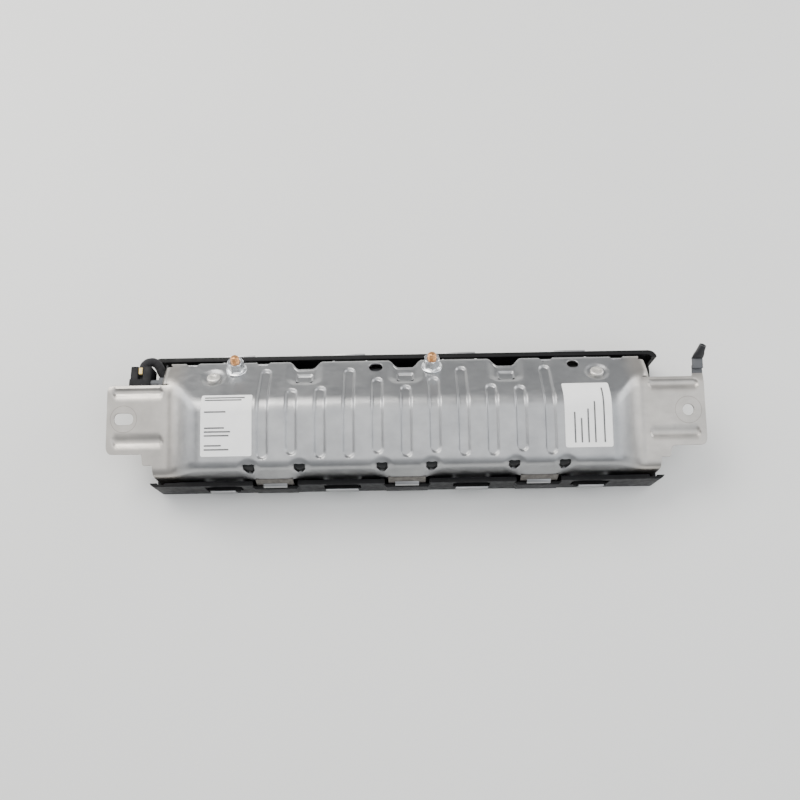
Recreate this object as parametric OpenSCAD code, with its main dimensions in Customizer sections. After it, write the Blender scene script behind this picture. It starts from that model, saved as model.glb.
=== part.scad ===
// Knee airbag module, lying on its cover face with the steel back up.
// +X is to the right along the module, +Y is away from the near rail, +Z is up through the steel back.

/* [Overall] */
// Length over both flange tabs
overall_l = 400; // [380:1:420]
// Depth over the cover walls
cover_d = 91.6; // [91:0.1:93]
// Height of the cover rim above the door face
rim_z = 26; // [25:0.5:27]

/* [Housing sheet] */
// Thickness of the stamped sheet
sheet = 1.5; // [1.2:0.1:1.6]
// Tilt of the main facet and the flanges towards the near side
main_tilt = 11; // [10:0.5:12]
// Slope of the upper facet down to the far side
upper_tilt = 31; // [30:0.5:32]
// How far the flanges lie below the main facet
flange_drop = 14; // [13:0.5:15]
// Inner radius of the near fold
near_r = 7; // [5:0.5:8]

/* [Flanges] */
// Distance of each mounting hole from the middle
mount_x = 188.3; // [187:0.1:189]
// Diameter of the round hole in the right flange
hole_d = 7.6; // [6.5:0.1:8]
// Length of the slot in the left flange
slot_l = 12.8; // [11:0.1:14]
// Width of the slot in the left flange
slot_w = 7.8; // [6.5:0.1:8.5]

/* [Beads] */
// Distance between neighbouring beads
bead_pitch = 18.8; // [18:0.1:19]
// Width of a bead
bead_w = 8.6; // [7:0.1:9]
// Depth of a bead
bead_depth = 1.5; // [1:0.1:1.8]

/* [Fasteners] */
// Nominal thread diameter of the studs
stud_d = 6; // [6:0.1:6.2]
// Place of the left stud along the module
stud_left_x = -114.4; // [-116:0.1:-112]
// Place of the right stud along the module
stud_right_x = 18.2; // [16:0.1:20]

/* [Inflator] */
// Outer diameter of the inflator tube
tube_d = 25; // [24:0.5:25]
// Length of the inflator tube
tube_l = 178; // [170:1:180]

/* [Cover] */
// Thickness of the cover's side walls
wall = 2.3; // [2:0.1:2.6]
// Thickness of the cover's face and of its doors
face_t = 2.8; // [2.5:0.1:3]
// Width of the fixed border round the doors
border = 8.2; // [8:0.1:9]

/* [Hidden] */
e = 0.01;
$fn = 48;
kink_y = 2.8;
kink_z = 58.04;
near_y = -39.6;
near_z = kink_z + (near_y - kink_y) * tan(main_tilt);
far_y = 38;
far_z = kink_z - (far_y - kink_y) * tan(upper_tilt);
pan_bottom = 12;
near_foot_y = -41.5;
far_foot_y = 39.5;
// half lengths of the pan: at the near corners and along the far part
pan_near_x = 169;
pan_far_x = 163;
slope_top_x = 139;
slope_foot_x = 155;
half_l = overall_l / 2;
half_d = cover_d / 2;
cover_near_x = 173;
cover_far_x = 177;
tab_far_v = 14.3;
tab_near_v = -32.1;
shoulder_v = -39.7;
shoulder_x = 175.4;
corner_rise = 4.7;
groove_x = 179;
groove_vs = [9.3, -23.4];
hole_v = -8.5;
// along the upper facet, measured down from the kink
stud_s = 32.6;
stud_h = 10.8;
nut_h = 8;
upper_len = (far_y - kink_y) / cos(upper_tilt);
band_t = 1.3;
// the stud's square shoulder lies between the sheet and the tube
shoulder_h = 2.5;
tube_below = sheet + shoulder_h + 0.05 + tube_d / 2;
tube_x0 = -136;
near_tab_xs = [-88.5, 0, 88.5];
near_hook_xs = [-124.5, -43.9, 43.9, 124.5];
far_hook_xs = [-117, -39, 39, 117];
window_xs = [-103, -70, -16.2, 16.2, 70, 103];
hook_y = 48.9;
scoop_xs = [-67.9, 0, 67.9];
notch_xs = [-145.2, -96.7, 96.7, 145.2];
dimple_xs = [-129, 129];
dimple_s = 25.4;
gap = 0.3;
rim_w = 3;
// the end walls are lower than the long walls
end_z = 5;
end_near_y = -43.2;
end_far_y = 41;
door_x = 160;
door_y = half_d - border;
door_floor = 0.4;
lead_d = 6.4;
seal_y0 = 22.4;
seal_w = 14;
label_t = 0.15;

// ---- outlines ----

// arc points that round the corner b between a and c
function rounded(a, b, c, r) =
    let (u = (a - b) / norm(a - b), v = (c - b) / norm(c - b),
        half = acos(u * v) / 2,
        t = r / tan(half),
        m = b + (u + v) / norm(u + v) * r / sin(half),
        p = b + u * t,
        q = b + v * t,
        a0 = atan2(p[1] - m[1], p[0] - m[0]),
        turn = atan2(q[1] - m[1], q[0] - m[0]) - a0,
        sweep = turn > 180 ? turn - 360 : turn < -180 ? turn + 360 : turn)
    [for (i = [0 : 6]) m + r * [cos(a0 + sweep * i / 6), sin(a0 + sweep * i / 6)]];

// a closed outline from corners [x, y, radius]
function outline(c) =
    [for (i = [0 : len(c) - 1])
        let (b = c[i], a = c[(i + len(c) - 1) % len(c)], d = c[(i + 1) % len(c)])
        each b[2] > 0 ? rounded([a[0], a[1]], [b[0], b[1]], [d[0], d[1]], b[2]) : [[b[0], b[1]]]];

// an outline in the YZ plane, drawn along X
module along_x(points, x0, x1)
{
    translate([x0, 0, 0])
        rotate([90, 0, 90])
            linear_extrude(x1 - x0)
                polygon(points);
}

// frame of the main facet: origin on the kink, v along the facet, w out of it
module main_frame()
{
    translate([0, kink_y, kink_z])
        rotate([main_tilt, 0, 0])
            children();
}

// frame of the upper facet: origin on the kink, s down the facet, w out of it
module upper_frame()
{
    translate([0, kink_y, kink_z])
        rotate([-upper_tilt, 0, 0])
            children();
}

// oblong with round ends, l long and w wide
module slot_shape(l, w)
{
    r = w / 2 - e;
    polygon(outline([[-l / 2, -w / 2, r], [l / 2, -w / 2, r], [l / 2, w / 2, r], [-l / 2, w / 2, r]]));
}

// ---- housing ----

// section of the pan across the module, moved in by t
function pan_section(t) =
    let (lift = t / cos(main_tilt), drop = t / cos(upper_tilt), low = t > 0 ? 10 : 0)
    outline([
        [near_foot_y + t, pan_bottom - low, 0],
        [near_y + t, near_z - lift + t * tan(main_tilt), near_r - t],
        [kink_y - t * 0.18, kink_z - (lift + drop) / 2, 12 - t],
        [far_y - t, far_z - drop + t * tan(upper_tilt), 3.4 - t],
        [far_foot_y - t, pan_bottom - low, 0]]);

// outline of the pan's ends, seen along the main facet
function end_section(t) =
    outline([
        [-pan_near_x - 5, -90, 0],
        [-pan_near_x - 5, -flange_drop - t, 0],
        [-slope_foot_x + t * 0.4, -flange_drop - t, 6 + t],
        [-slope_top_x + t * 0.4, -t, 9 - t],
        [slope_top_x - t * 0.4, -t, 9 - t],
        [slope_foot_x - t * 0.4, -flange_drop - t, 6 + t],
        [pan_near_x + 5, -flange_drop - t, 0],
        [pan_near_x + 5, -90, 0]]);

// plan of the pan, moved in by t
function pan_plan(t) =
    let (n = pan_near_x - t, f = pan_far_x - t)
    outline([
        [-n, -60, 0], [n, -60, 0], [n, -30, 2], [f, -23, 2], [f, 60, 0],
        [-f, 60, 0], [-f, -23, 2], [-n, -30, 2]]);

module pan_solid(t)
{
    intersection() {
        along_x(pan_section(t), -half_l, half_l);
        main_frame()
            rotate([90, 0, 0])
                linear_extrude(160, center = true)
                    polygon(end_section(t));
        translate([0, 0, -5])
            linear_extrude(90)
                polygon(pan_plan(t));
    }
}

// outline of a flange tab on the right; the raised corner carries the clip
function tab_outline(raised) =
    let (x0 = slope_foot_x + 4, step = raised ? corner_rise : 0)
    outline([
        [x0, tab_far_v, 0],
        [half_l - 8, tab_far_v, 0],
        [half_l - 5.6, tab_far_v + step, 0],
        [half_l - 0.6, tab_far_v + step, raised ? 0.5 : 3.4],
        [half_l, tab_near_v, 5],
        [shoulder_x, tab_near_v, raised ? 4 : 0.5],
        [shoulder_x, shoulder_v, 1],
        [x0, shoulder_v, 0]]);

// flange tab on the side s, drawn in the frame of the main facet
module tab_plate(s)
{
    translate([0, 0, -flange_drop - sheet])
        linear_extrude(sheet)
            mirror([s < 0 ? 1 : 0, 0])
                polygon(tab_outline(s > 0));
}

// a bead of one facet: a square start just over the kink and a round far end
module bead_shape(l, w, over)
{
    r = w / 2 - e;
    polygon(outline([[-w / 2, -over, 0], [w / 2, -over, 0], [w / 2, l, r], [-w / 2, l, r]]));
}

// lengths of a bead below and above the kink, by its place from the middle
function bead_lower(i) = abs(i) == 1 || abs(i) == 4 ? 35.4 : 37.8;
function bead_upper(i) =
    abs(i) == 5 || abs(i) == 2 ? 33.2 : abs(i) == 1 ? 23 : abs(i) == 4 ? 13 : 14.8;

module beads(w, top, bottom, over)
{
    for (i = [-5 : 5]) {
        main_frame()
            translate([i * bead_pitch, 0, bottom])
                linear_extrude(top - bottom)
                    mirror([0, 1])
                        bead_shape(bead_lower(i), w, over);
        upper_frame()
            translate([i * bead_pitch, 0, bottom])
                linear_extrude(top - bottom)
                    bead_shape(bead_upper(i), w, over * 0.9);
    }
}

// two stiffening grooves on each flange
module flange_grooves(w, top, bottom)
{
    for (s = [-1, 1], v = groove_vs)
        main_frame()
            translate([s * groove_x, v, -flange_drop + bottom])
                linear_extrude(top - bottom)
                    slot_shape(35.4, w);
}

module dimples(d, top, bottom)
{
    upper_frame()
        for (x = dimple_xs)
            translate([x, dimple_s, bottom])
                cylinder(d = d, h = top - bottom);
}

// a window in the near fold, square with a pointed lower end, from depth z0 to z1
module window_prism(x, top, z0, z1)
{
    translate([x, near_y + 1.6, near_z - 2])
        rotate([40, 0, 0])
            translate([0, 0, z0])
                linear_extrude(z1 - z0)
                    polygon([[-3.6, top], [3.6, top], [3.6, -1.5], [1.2, -4.2], [-1.2, -4.2], [-3.6, -1.5]]);
}

// steel edge tab that flares out over the cover rim
module near_tab(x)
{
    along_x([
        [near_foot_y + 0.7, rim_z + 7], [near_foot_y + 1.9, rim_z + 7],
        [-44, rim_z - 1], [-44, 15], [-45.3, 15], [-45.3, rim_z]], x - 14, x + 14);
}

// steel hook that reaches through a window of the cover wall, on the side s
module hook(x, s, foot_y)
{
    mirror([0, s > 0 ? 1 : 0, 0])
        along_x([
            [-foot_y + sheet, pan_bottom], [-foot_y + sheet, pan_bottom + 1.3],
            [-hook_y + 1.2, pan_bottom + 1.3], [-hook_y + 1.2, 20.4],
            [-hook_y, 20.4], [-hook_y, pan_bottom]], x - 11, x + 11);
}

module housing()
{
    color([0.72, 0.73, 0.74])
        difference() {
            union() {
                difference() {
                    pan_solid(0);
                    pan_solid(sheet);
                }
                for (s = [-1, 1])
                    main_frame()
                        tab_plate(s);
                beads(bead_w + 2, -1.2, -sheet - bead_depth, 1.05);
                flange_grooves(7.4, -0.4, -sheet - 1.2);
                dimples(20, -0.8, -sheet - 1.2);
                for (x = near_tab_xs)
                    near_tab(x);
                for (x = near_hook_xs)
                    hook(x, -1, -near_foot_y);
                for (x = far_hook_xs)
                    hook(x, 1, far_foot_y);
            }
            beads(bead_w, 5, -bead_depth, 0.4);
            flange_grooves(5.6, 5, -1.2);
            dimples(17.5, 5, -1.2);
            // rivet holes, vent holes and the mounting holes
            upper_frame()
                for (x = dimple_xs)
                    translate([x, dimple_s, -9])
                        cylinder(d = 5.2, h = 18);
            upper_frame()
                for (h = [[-19.9, 33.4, 9.2], [114, 33.4, 7.8]])
                    translate([h[0], h[1], -9])
                        cylinder(d = h[2], h = 18);
            upper_frame()
                for (x = [stud_left_x, stud_right_x])
                    translate([x, stud_s, -9])
                        cylinder(d = stud_d + 0.6, h = 18);
            main_frame()
                translate([mount_x, hole_v, -30])
                    cylinder(d = hole_d, h = 40);
            main_frame()
                translate([-mount_x, hole_v, -30])
                    linear_extrude(40)
                        slot_shape(slot_l, slot_w);
            for (x = window_xs)
                window_prism(x, 3.4, -4, 8);
            // scoops in the far edge, with a narrow notch near each end
            upper_frame()
                for (x = scoop_xs)
                    translate([x, upper_len - 6.8, -6])
                        linear_extrude(20)
                            polygon([[-11, 12], [-10, 6.8], [-6.5, 1], [-4, 0], [4, 0], [6.5, 1], [10, 6.8], [11, 12]]);
            upper_frame()
                for (x = notch_xs)
                    translate([x, upper_len - 4.6, -6])
                        linear_extrude(20)
                            polygon([[-6.4, 9], [-3.2, 0], [3.2, 0], [6.4, 9]]);
            // way out for the lead in the left end wall
            translate([-pan_near_x - 2, seal_y0, pan_bottom - 2])
                cube([12, seal_w, 23]);
        }
}

// ---- inflator, studs and nuts ----

module tube_frame()
{
    upper_frame()
        translate([0, stud_s, -tube_below])
            rotate([0, 90, 0])
                children();
}

module inflator_tube()
{
    color([0.62, 0.63, 0.66])
        tube_frame()
            translate([0, 0, tube_x0])
                difference() {
                    cylinder(d = tube_d, h = tube_l);
                    translate([0, 0, -e])
                        cylinder(d = 12.06, h = 9 + e);
                    translate([0, 0, tube_l - 6])
                        cylinder(d = 16.06, h = 6 + e);
                }
}

module diffuser_cap()
{
    color([0.5, 0.51, 0.53])
        tube_frame()
            translate([0, 0, tube_x0 + tube_l])
                difference() {
                    union() {
                        translate([0, 0, -6])
                            cylinder(d = 16, h = 6 + e);
                        cylinder(d = 18, h = 12);
                    }
                    for (a = [0 : 90 : 270])
                        rotate([0, 0, a])
                            translate([5, 0, 7])
                                rotate([0, 90, 0])
                                    cylinder(d = 4, h = 6);
                }
}

module initiator()
{
    color([0.85, 0.72, 0.35])
        tube_frame()
            translate([0, 0, tube_x0])
                difference() {
                    union() {
                        translate([0, 0, -1])
                            cylinder(d = 12, h = 9.8);
                        translate([0, 0, -7])
                            cylinder(d = 15, h = 7);
                    }
                    translate([0, 0, -7 - e])
                        cylinder(d = 10.1, h = 5 + e);
                }
}

module igniter_plug()
{
    color([0.15, 0.15, 0.16])
        tube_frame()
            translate([0, 0, tube_x0]) {
                translate([0, 0, -7 - e])
                    cylinder(d = 10, h = 4);
                translate([0, 0, -14])
                    cylinder(d = 13, h = 7);
            }
}

module clamp(x)
{
    color([0.6, 0.61, 0.62]) {
        tube_frame()
            translate([0, 0, x - 9])
                difference() {
                    cylinder(d = tube_d + 2 * band_t, h = 18);
                    translate([0, 0, -e])
                        cylinder(d = tube_d + 0.04, h = 18 + 2 * e);
                    // square hole where the stud's head passes
                    translate([-20, -4, 5])
                        cube([20, 8, 8]);
                }
    }
}

// threaded stud with a square head that rests on the tube
module stud(x)
{
    color([0.78, 0.5, 0.3])
        upper_frame()
            translate([x, stud_s, 0]) {
                translate([0, 0, -sheet - 1])
                    cylinder(d = stud_d, h = stud_h + sheet + 1);
                translate([0, 0, stud_h - e])
                    cylinder(d1 = stud_d, d2 = 3.4, h = 1.4);
                translate([-3.9, -3.9, -sheet - shoulder_h])
                    cube([7.8, 7.8, shoulder_h]);
            }
}

module nut(x)
{
    color([0.86, 0.87, 0.88])
        upper_frame()
            translate([x, stud_s, 0])
                difference() {
                    union() {
                        cylinder(d = 14.2, h = 1.3);
                        translate([0, 0, 1.3 - e])
                            cylinder(d1 = 14.2, d2 = 11, h = 1.2);
                        cylinder(d = 11.55, h = nut_h, $fn = 6);
                    }
                    translate([0, 0, -e])
                        cylinder(d = stud_d + 0.06, h = nut_h + 2 * e);
                }
}

module rivet(x)
{
    color([0.8, 0.78, 0.72])
        upper_frame()
            translate([x, dimple_s, 0]) {
                translate([0, 0, -1.2])
                    cylinder(d = 9, h = 2.4);
                translate([0, 0, -1.2 - sheet - 1])
                    cylinder(d = 5.1, h = sheet + 1 + e);
                translate([0, 0, -1.2 - sheet - 1])
                    cylinder(d = 8, h = 1);
            }
}

module heat_deflector()
{
    color([0.55, 0.55, 0.52])
        tube_frame()
            translate([0, 0, tube_x0 + 2])
                intersection() {
                    difference() {
                        cylinder(d = tube_d + 2 * band_t + 1.64, h = tube_l - 4);
                        translate([0, 0, -e])
                            cylinder(d = tube_d + 2 * band_t + 0.04, h = tube_l);
                    }
                    // only the side that faces the fabric
                    translate([3, -20, 0])
                        cube([20, 40, tube_l]);
                }
}

// ---- cushion ----

cushion_low = 4.6;
cushion_mid = 11.6;

module cushion()
{
    color([0.86, 0.84, 0.78]) {
        along_x([
            [-37.5, cushion_low], [35, cushion_low], [35, cushion_mid], [3, cushion_mid],
            [1, 44], [-12, 48], [-33, 44], [-37.2, 38]], -132, 56);
        along_x([
            [-37.5, cushion_low], [35, cushion_low], [33.5, 32], [3, 50], [-12, 48],
            [-33, 44], [-37.2, 38]], 56, 132);
        for (x = [-154, 132 - e])
            along_x([
                [-37.5, cushion_low], [2, cushion_low], [2, 35], [-37.2, 30]], x, x + 22 + e);
    }
}

module cushion_wrap()
{
    color([0.92, 0.92, 0.9])
        along_x([
            [-38.6, 3.4], [35.8, 3.4], [35.8, 9], [35.3, 9], [35.3, 4.1],
            [-38.1, 4.1], [-38.1, 16], [-38.6, 16]], -150, 150);
}

// ---- cover ----

// plan of the cover, moved in by t
function cover_plan(t) =
    outline([
        [-cover_near_x + t, -half_d + t, 4 - t / 2],
        [cover_near_x - t, -half_d + t, 4 - t / 2],
        [cover_far_x - t, half_d - t, 6 - t / 2],
        [-cover_far_x + t, half_d - t, 6 - t / 2]]);

module cover_slab(t, z0, z1)
{
    translate([0, 0, z0])
        linear_extrude(z1 - z0)
            polygon(cover_plan(t));
}

// outward bulge of the near wall round an edge tab
module bulge(x)
{
    translate([0, 0, 8])
        linear_extrude(14)
            polygon([[x - 17, -half_d + 1], [x - 14, -half_d - 1.9], [x + 14, -half_d - 1.9], [x + 17, -half_d + 1]]);
}

module cover_frame()
{
    color([0.1, 0.1, 0.11])
        difference() {
            union() {
                difference() {
                    cover_slab(0, 0, rim_z);
                    cover_slab(wall, face_t, rim_z - 3);
                    cover_slab(rim_w, rim_z - 3 - e, rim_z + 1);
                }
                for (x = near_tab_xs)
                    bulge(x);
            }
            // opening of the two doors
            translate([-door_x - gap, -door_y - gap, -1])
                cube([2 * (door_x + gap), 2 * (door_y + gap), face_t + 2]);
            // gaps in the near rim for the edge tabs
            for (x = near_tab_xs)
                translate([x - 15, -half_d + 0.2, 9])
                    cube([30, 6, 20]);
            for (x = near_tab_xs)
                translate([x - 15, -half_d - 5, 22])
                    cube([30, 12, 10]);
            for (s = [-1, 1])
                translate([s * 175 - 9, end_near_y, end_z])
                    cube([30, end_far_y - end_near_y, rim_z]);
            // windows for the hooks
            for (x = near_hook_xs)
                translate([x - 12.5, -half_d - 3, pan_bottom - 1.5])
                    cube([25, 8, 11]);
            for (x = far_hook_xs)
                translate([x - 12.5, half_d - 5, pan_bottom - 1.5])
                    cube([25, 8, 11]);
            // square holes in the near corners
            for (s = [-1, 1])
                translate([s * (cover_near_x - 7.5) - 2.6, -half_d + 1.4, 15])
                    cube([5.2, 4.4, 20]);
        }
}

module door(s)
{
    color([0.12, 0.12, 0.13])
        difference() {
            mirror([0, s > 0 ? 1 : 0, 0])
                translate([-door_x, -door_y, door_floor])
                    cube([2 * door_x, door_y - 0.25, face_t - door_floor]);
            // thinned line beside the hinge, and ribs between grooves inside
            translate([-door_x - 1, s * (door_y - 3) - 1, face_t - 1])
                cube([2 * door_x + 2, 2, 2]);
        }
}

// ---- labels, plugs, lead and clips ----

// paper label from x0 to x1, that reaches below and above the kink
module label(x0, x1, below, above)
{
    color([0.95, 0.95, 0.93])
        difference() {
            along_x(pan_section(-label_t), x0, x1);
            along_x(pan_section(0), x0 - 1, x1 + 1);
            main_frame()
                translate([-half_l, -90 - below, -60])
                    cube([overall_l, 90, 90]);
            upper_frame()
                translate([-half_l, above, -60])
                    cube([overall_l, 90, 90]);
        }
}

module window_plugs()
{
    color([0.25, 0.26, 0.27])
        for (x = window_xs)
            window_prism(x, 3, -3.4, 0.2);
}

// route of the ignition lead from the igniter plug to the connector
lead_route = [
    [-150, 22.2, 27.1], [-152, 22.2, 27.1], [-154.4, 23.2, 27.3], [-157, 25.2, 27.9],
    [-160.6, 27.5, 28.4], [-163.6, 29, 28.5], [-166.6, 31.2, 28.6], [-168.8, 34.6, 29.1],
    [-170.6, 38.2, 30], [-173.6, 40.8, 31.2], [-177.2, 40.4, 32.4], [-179.6, 38, 33.2],
    [-180, 36.4, 33.4], [-180, 35, 33.4]];

function unit(v) = v / norm(v);

// swept tube: a ring of n points at each point of the path
module swept(path, d, n)
{
    last = len(path) - 1;
    rings = [for (i = [0 : last])
        let (t = unit(path[min(i + 1, last)] - path[max(i - 1, 0)]),
            side = unit(cross([0, 0, 1], t)),
            up = cross(t, side))
        each [for (k = [0 : n - 1]) path[i] + d / 2 * (cos(360 * k / n) * side + sin(360 * k / n) * up)]];
    walls = [for (i = [0 : last - 1], k = [0 : n - 1])
        [i * n + k, (i + 1) * n + k, (i + 1) * n + (k + 1) % n, i * n + (k + 1) % n]];
    caps = [[for (k = [0 : n - 1]) k], [for (k = [n - 1 : -1 : 0]) last * n + k]];
    polyhedron(rings, concat(walls, caps));
}

module ignition_lead()
{
    color([0.2, 0.18, 0.22])
        swept(lead_route, lead_d, 12);
}

// rubber seal in the end wall, with a flange outside
module lead_grommet()
{
    color([0.08, 0.08, 0.08])
        difference() {
            union() {
                translate([-pan_far_x - 1.2, seal_y0 - 1.3, 20])
                    cube([1.2, seal_w + 2.4, 15.2]);
                translate([-pan_far_x - e, seal_y0, 20])
                    cube([1.6, seal_w, 13]);
            }
            translate([-pan_far_x - 3, 28.6, 28.5])
                rotate([0, 90, 0])
                    cylinder(d = 11.6, h = 6);
        }
}

module connector_body()
{
    color([0.07, 0.07, 0.08])
        difference() {
            union() {
                translate([-186.6, 17, 27])
                    cube([14, 18, 14]);
                translate([-189, 20, 29])
                    cube([2.4 + e, 8, 7]);
                translate([-184.6, 13, 28.5])
                    cube([10, 4 + e, 9]);
            }
            // bay of the lock slide
            translate([-181.4, 26, 38])
                cube([3, 9 + e, 3 + e]);
        }
}

module connector_lock()
{
    color([0.93, 0.82, 0.5])
        translate([-181.1, 29.4, 38.02])
            cube([2.4, 4.6, 3.1]);
}

// peg on the end wall that holds the connector
module connector_bracket()
{
    color([0.45, 0.46, 0.47]) {
        translate([-172.6, 23.2, 38.2])
            rotate([0, 90, 0])
                cylinder(d = 5, h = 5.6 + e);
        translate([-167, 20, 35.9])
            cube([4, 6.4, 5.4]);
    }
}

module clip_base()
{
    color([0.35, 0.36, 0.38])
        main_frame()
            translate([192.6, tab_far_v + corner_rise + 0.1, -flange_drop - sheet - 0.1]) {
                cube([7, 6.9, 2]);
                translate([0, -3.4, -1.4])
                    cube([7, 6, 1.41]);
            }
}

module clip_barrel()
{
    color([0.08, 0.08, 0.09])
        main_frame()
            translate([195, tab_far_v + 12.6, -flange_drop])
                rotate([-50, 24, 0])
                    difference() {
                        cylinder(d = 5.2, h = 10);
                        translate([0, 0, 3])
                            cylinder(d = 2.6, h = 12);
                    }
}

housing();
inflator_tube();
diffuser_cap();
initiator();
igniter_plug();
clamp(stud_left_x);  // clamp_left
clamp(stud_right_x);  // clamp_right
stud(stud_left_x);  // stud_left
stud(stud_right_x);  // stud_right
nut(stud_left_x);  // nut_left
nut(stud_right_x);  // nut_right
heat_deflector();
cushion();
cushion_wrap();
cover_frame();
door(-1);  // near_door
door(1);  // far_door
label(-133.7, -100.5, 35, 7);  // label_left
label(103.1, 133.8, 33, 13);  // label_right
rivet(dimple_xs[0]);  // rivet_left
rivet(dimple_xs[1]);  // rivet_right
window_plugs();
ignition_lead();
lead_grommet();
connector_body();
connector_lock();
connector_bracket();
clip_base();
clip_barrel();
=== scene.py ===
"""Knee airbag module seen from its steel back: stamped housing, cover, fasteners, labels, lead and folded cushion."""
import math

import bmesh
import bpy
import numpy as np
from mathutils import Matrix, Vector
from mathutils.geometry import delaunay_2d_cdt


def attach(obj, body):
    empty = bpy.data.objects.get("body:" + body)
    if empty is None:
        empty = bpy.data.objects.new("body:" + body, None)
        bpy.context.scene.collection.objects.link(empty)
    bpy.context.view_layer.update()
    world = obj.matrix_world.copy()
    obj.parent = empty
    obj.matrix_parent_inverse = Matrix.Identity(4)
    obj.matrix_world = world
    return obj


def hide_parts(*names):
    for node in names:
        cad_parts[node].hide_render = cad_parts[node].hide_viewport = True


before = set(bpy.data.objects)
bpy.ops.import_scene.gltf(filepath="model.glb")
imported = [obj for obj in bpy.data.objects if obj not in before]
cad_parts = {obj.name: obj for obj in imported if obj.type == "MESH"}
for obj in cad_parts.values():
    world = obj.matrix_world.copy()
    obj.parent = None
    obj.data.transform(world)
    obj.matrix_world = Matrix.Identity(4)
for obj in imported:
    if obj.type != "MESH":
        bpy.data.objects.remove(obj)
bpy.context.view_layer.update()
MM = 0.001

# ---- named sizes in millimetres; down to HOOK_Y they are the CAD model's ----

SHEET = 1.5
MAIN_TILT = math.radians(11)
UPPER_TILT = math.radians(31)
KINK_Y, KINK_Z = 2.8, 58.04
NEAR_Y, FAR_Y = -39.6, 38.0
NEAR_FOOT_Y, FAR_FOOT_Y = -41.5, 39.5
PAN_BOTTOM = 12.0
DROP = 14.0
SLOPE_TOP_X, SLOPE_FOOT_X = 139.0, 155.0
PAN_NEAR_X, PAN_FAR_X = 169.0, 163.0
HALF_L = 200.0
TAB_FAR_V, TAB_NEAR_V, SHOULDER_V = 14.3, -32.1, -39.7
SHOULDER_X = 175.4
CORNER_RISE = 4.7
HOLE_V = -8.5
MOUNT_X, HOLE_D, SLOT_L, SLOT_W = 188.3, 7.6, 12.8, 7.8
BEAD_PITCH, BEAD_W, BEAD_DEPTH = 18.8, 8.6, 1.5
BEAD_LOWER = {0: 37.8, 1: 35.4, 2: 37.8, 3: 37.8, 4: 35.4, 5: 37.8}
BEAD_UPPER = {0: 14.8, 1: 23.0, 2: 33.2, 3: 14.8, 4: 13.0, 5: 33.2}
GROOVE_X, GROOVE_VS, GROOVE_L = 179.0, (9.3, -23.4), 35.4
STUD_XS, STUD_S = (-114.4, 18.2), 32.6
DIMPLE_XS, DIMPLE_S = (-129.0, 129.0), 25.4
VENTS = ((-19.9, 33.6, 9.2), (114.0, 33.6, 7.8))
SCOOP_XS = (-67.9, 0.0, 67.9)
NOTCH_XS = (-145.2, -96.7, 96.7, 145.2)
WINDOW_XS = (-103.0, -70.0, -16.2, 16.2, 70.0, 103.0)
NEAR_TAB_XS = (-88.5, 0.0, 88.5)
NEAR_HOOK_XS = (-124.5, -43.9, 43.9, 124.5)
FAR_HOOK_XS = (-117.0, -39.0, 39.0, 117.0)
HOOK_Y = 48.9
# pressed features: full depth inside the first distance, none outside the second, and the depth
GROOVE_DISH = (1.4, 3.2, 1.4)
BEAD_DISH = (2.4, BEAD_W / 2 - 0.1, BEAD_DEPTH)
DIMPLE_DISH = (5.2, 9.2, 1.25)
SCOOP_DISH, POCKET_DISH = (-1.5, 6.0, 1.9), (-0.9, 0.4, 1.2)
WINDOW_DISH = (4.4, 8.2, 0.9)
# the shown sheet: the holes at the scoops, how far the far edge steps in, how far the near wall flares out, where
# the end bend stops, the stud holes, and the spacing of points along an outline
RELIEF_X, RELIEF_S, RELIEF_D = 4.6, 21.9, 2.2
SCOOP_BACK, TAB_FLARE, BEND_LIMIT_X = 6.2, 2.6, 190.5
STUD_HOLE_D = 6.6
OUTLINE_STEP = 0.8
# half widths of the hooks; the outer near ones are narrower than in the CAD, as the photo shows
HOOK_HALF, OUTER_HOOK_HALF = 11.0, 8.5
HEX_FLAT, HEX_CORNER = 10.0, 5.72
THREAD_STEP = 0.125


def facet_point(v, w=0.0):
    """World (y, z) of a point v along the main facet and w out of it."""
    c, s = math.cos(MAIN_TILT), math.sin(MAIN_TILT)
    return KINK_Y + v * c - w * s, KINK_Z + v * s + w * c


MAIN_MATRIX = Matrix.Translation(Vector((0, KINK_Y, KINK_Z)) * MM) @ Matrix.Rotation(MAIN_TILT, 4, "X")
UPPER_MATRIX = Matrix.Translation(Vector((0, KINK_Y, KINK_Z)) * MM) @ Matrix.Rotation(-UPPER_TILT, 4, "X")

# ---- small helpers ----


def smooth(a, b, x):
    """0 below a, 1 above b, smooth between."""
    t = np.clip((x - a) / (b - a), 0, 1)
    return t * t * (3 - 2 * t)


def angles(n):
    """n even steps round a circle."""
    return [2 * math.pi * k / n for k in range(n)]


def soft_max(a, b, k):
    h = np.clip(0.5 + 0.5 * (a - b) / k, 0, 1)
    return b * (1 - h) + a * h + k * h * (1 - h)


def soft_min(a, b, k):
    return -soft_max(-a, -b, k)


def new_piece(name, mesh, material, body="module"):
    obj = bpy.data.objects.new(name, mesh)
    bpy.context.scene.collection.objects.link(obj)
    mesh.materials.append(material)
    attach(obj, body)
    return obj


def mesh_from(name, verts, faces, angle=35):
    """A mesh from points in millimetres, shaded smooth up to the given edge angle."""
    mesh = bpy.data.meshes.new(name)
    mesh.from_pydata([tuple(float(c) * MM for c in p) for p in verts], [], [tuple(int(i) for i in f) for f in faces])
    mesh.validate()
    shade(mesh, angle)
    return mesh


def ring_faces(count, n):
    """Faces of a closed solid from count rings of n points each."""
    faces = [(i * n + k, i * n + (k + 1) % n, (i + 1) * n + (k + 1) % n, (i + 1) * n + k)
             for i in range(count - 1) for k in range(n)]
    return faces + [tuple(range(n))[::-1], tuple(range((count - 1) * n, count * n))]


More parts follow.
